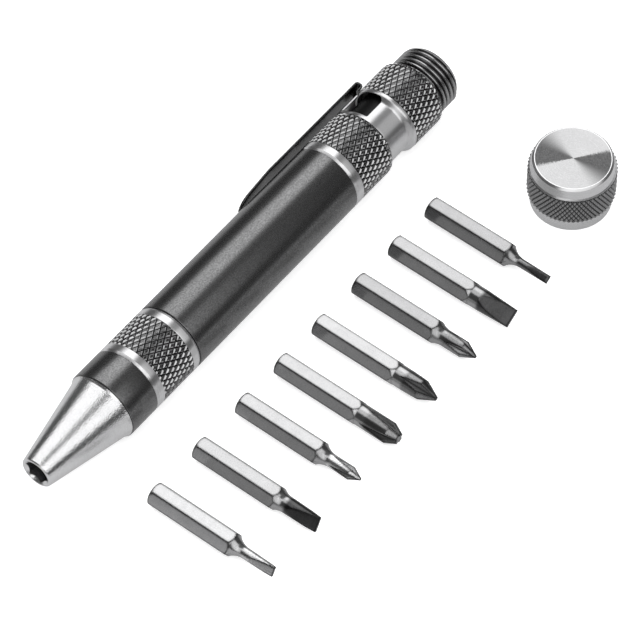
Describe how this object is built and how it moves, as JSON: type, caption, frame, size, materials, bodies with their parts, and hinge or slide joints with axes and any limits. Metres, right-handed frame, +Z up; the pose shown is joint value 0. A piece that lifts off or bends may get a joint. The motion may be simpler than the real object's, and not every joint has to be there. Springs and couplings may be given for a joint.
{
  "type": "pocket screwdriver",
  "caption": "Pen-sized metal screwdriver with a hex socket nose, knurled grips, a pocket clip and an open threaded tail, with its cap and loose slotted and cross bits beside it.",
  "frame": {"origin": "bottom centre of the box round the whole set as it lies", "axes": "+X along the driver from its nose to its tail, +Y from the bits towards the driver, +Z up"},
  "size_m": [0.1112, 0.0486, 0.0133],
  "materials": {
    "polished_nose": "polished",
    "satin_gunmetal": "satin",
    "turned_grip": "knurled",
    "tube_metal": "turned",
    "magnet_metal": "plain",
    "clip_chrome": "bright",
    "spun_cap": "spun",
    "bit_steel": "nickel plated"
  },
  "bodies": {
    "driver": {"core_tube": "tube_metal", "nose_cone": "polished_nose", "socket_magnet": "magnet_metal", "front_collar": "satin_gunmetal", "front_grip": "turned_grip", "barrel_sleeve": "satin_gunmetal", "rear_grip": "turned_grip", "tail_grip": "turned_grip"},
    "clip_ring": {"clip_collar": "clip_chrome"},
    "clip_spring": {"clip_blade": "clip_chrome"},
    "cap": {"tail_cap": "spun_cap"},
    "bit_slotted_1_5_piece": {"bit_slotted_1_5": "bit_steel"},
    "bit_slotted_4_piece": {"bit_slotted_4": "bit_steel"},
    "bit_phillips_0_piece": {"bit_phillips_0": "bit_steel"},
    "bit_phillips_1_piece": {"bit_phillips_1": "bit_steel"},
    "bit_phillips_2_piece": {"bit_phillips_2": "bit_steel"},
    "bit_phillips_00_piece": {"bit_phillips_00": "bit_steel"},
    "bit_slotted_3_piece": {"bit_slotted_3": "bit_steel"},
    "bit_slotted_2_piece": {"bit_slotted_2": "bit_steel"}
  },
  "joints": [
    {"name": "clip_swivel", "type": "hinge", "parent": "driver", "child": "clip_ring", "pos_m": [0.03472, 0.01615, 0.00665], "axis": [1, 0, 0], "range_deg": [-30, 190]},
    {"name": "clip_flex", "type": "hinge", "parent": "clip_ring", "child": "clip_spring", "pos_m": [0.03914, 0.02328, 0.0074], "axis": [0, 0.1045, -0.9945], "range_deg": [0, 8], "stiffness_Nm_per_rad": 0.3},
    {"name": "cap_lift", "type": "slide", "parent": "driver", "child": "cap", "axis": [0, 0, 1], "range_m": [0, 0.03]},
    {"name": "bit_slotted_1_5_lift", "type": "slide", "parent": "driver", "child": "bit_slotted_1_5_piece", "axis": [0, 0, 1], "range_m": [0, 0.03]},
    {"name": "bit_slotted_4_lift", "type": "slide", "parent": "driver", "child": "bit_slotted_4_piece", "axis": [0, 0, 1], "range_m": [0, 0.03]},
    {"name": "bit_phillips_0_lift", "type": "slide", "parent": "driver", "child": "bit_phillips_0_piece", "axis": [0, 0, 1], "range_m": [0, 0.03]},
    {"name": "bit_phillips_1_lift", "type": "slide", "parent": "driver", "child": "bit_phillips_1_piece", "axis": [0, 0, 1], "range_m": [0, 0.03]},
    {"name": "bit_phillips_2_lift", "type": "slide", "parent": "driver", "child": "bit_phillips_2_piece", "axis": [0, 0, 1], "range_m": [0, 0.03]},
    {"name": "bit_phillips_00_lift", "type": "slide", "parent": "driver", "child": "bit_phillips_00_piece", "axis": [0, 0, 1], "range_m": [0, 0.03]},
    {"name": "bit_slotted_3_lift", "type": "slide", "parent": "driver", "child": "bit_slotted_3_piece", "axis": [0, 0, 1], "range_m": [0, 0.03]},
    {"name": "bit_slotted_2_lift", "type": "slide", "parent": "driver", "child": "bit_slotted_2_piece", "axis": [0, 0, 1], "range_m": [0, 0.03]}
  ]
}
